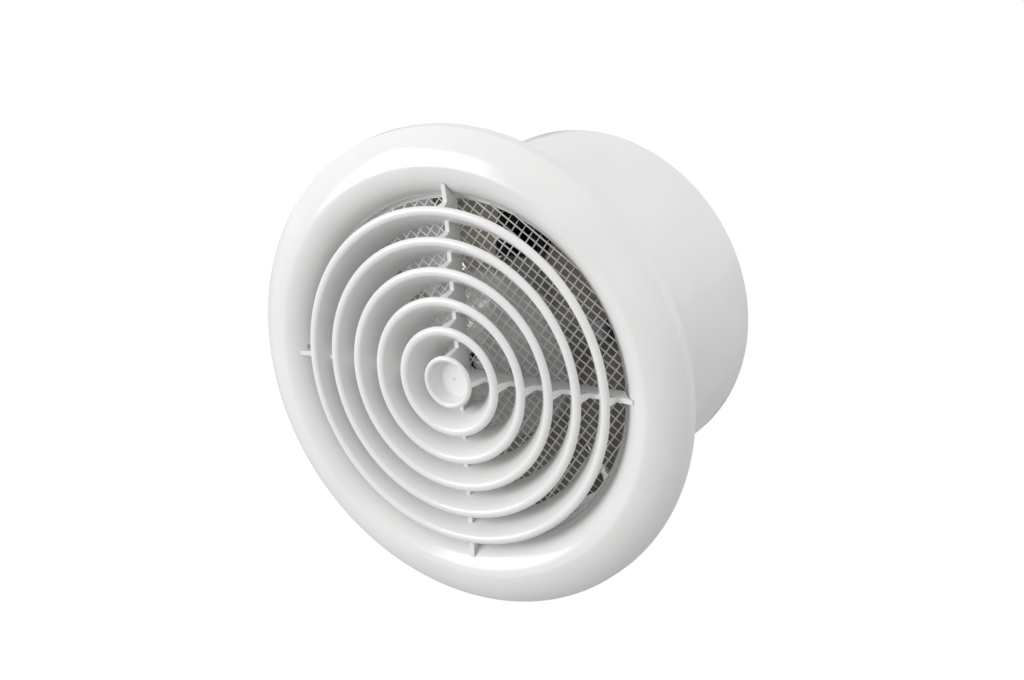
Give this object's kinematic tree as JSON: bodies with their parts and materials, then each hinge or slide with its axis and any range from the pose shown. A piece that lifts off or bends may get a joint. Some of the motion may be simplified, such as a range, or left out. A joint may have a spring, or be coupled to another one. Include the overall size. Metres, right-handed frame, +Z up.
{
  "type": "axial extractor fan",
  "caption": "Round-flanged axial extractor fan with a domed concentric-ring grille, insect net and plain duct spigot.",
  "frame": {"origin": "centre of the flange's back face, on the duct's axis, where the fan meets the wall or panel", "axes": "+Y along the duct's axis, from the face to the spigot's end; +Z up; +X to the right seen from the front"},
  "size_m": [0.1642, 0.0968, 0.1642],
  "materials": {
    "white_plastic": "glossy injection-moulded white ABS",
    "net_plastic": "satin off-white plastic",
    "impeller_plastic": "semi-gloss light grey plastic",
    "dark_plastic": "satin dark grey glass-filled plastic",
    "steel": "zinc-plated pressed steel",
    "lamination": "stacked electrical steel, varnished",
    "aluminium": "die-cast",
    "copper": "enamelled copper wire",
    "brass": "turned",
    "rubber": "matte black rubber",
    "brown_lead": "brown insulation",
    "blue_lead": "blue insulation"
  },
  "bodies": {
    "housing": {"front_cover": "white_plastic", "duct_casing": "white_plastic", "terminal_block": "net_plastic", "cable_clamp": "net_plastic", "motor_bracket": "dark_plastic", "terminal_base": "dark_plastic", "terminal_cover": "dark_plastic", "motor_front_shell": "steel", "motor_rear_shell": "steel", "through_bolt_1": "steel", "through_bolt_2": "steel", "through_bolt_3": "steel", "through_bolt_4": "steel", "bracket_screw_1": "steel", "bracket_screw_2": "steel", "bracket_screw_3": "steel", "bracket_screw_4": "steel", "motor_screw_1": "steel", "motor_screw_2": "steel", "motor_screw_3": "steel", "motor_screw_4": "steel", "clamp_screw_1": "steel", "clamp_screw_2": "steel", "stator_core": "lamination", "stator_coil_1": "copper", "stator_coil_2": "copper", "stator_coil_3": "copper", "stator_coil_4": "copper", "front_bearing": "brass", "rear_bearing": "brass", "terminal_screw_1": "brass", "terminal_screw_2": "brass", "terminal_screw_3": "brass", "vibration_grommet_1": "rubber", "vibration_grommet_2": "rubber", "vibration_grommet_3": "rubber", "vibration_grommet_4": "rubber", "lead_grommet": "rubber", "cable_bush": "rubber", "lead_live": "brown_lead", "lead_neutral": "blue_lead"},
    "impeller": {"impeller": "impeller_plastic", "impeller_clip": "steel", "motor_shaft": "steel", "rotor_core": "lamination", "rotor_end_ring_front": "aluminium", "rotor_end_ring_rear": "aluminium", "thrust_washer_front": "net_plastic", "thrust_washer_rear": "net_plastic"},
    "grille": {"grille_insert": "white_plastic", "insect_net": "net_plastic", "net_ring": "white_plastic"}
  },
  "joints": [
    {"name": "impeller_spin", "type": "hinge", "parent": "housing", "child": "impeller", "pos_m": [0, 0.03, 0], "axis": [0, 1, 0], "continuous": true},
    {"name": "grille_pull", "type": "slide", "parent": "housing", "child": "grille", "axis": [0, -1, 0], "range_m": [0, 0.03]}
  ]
}
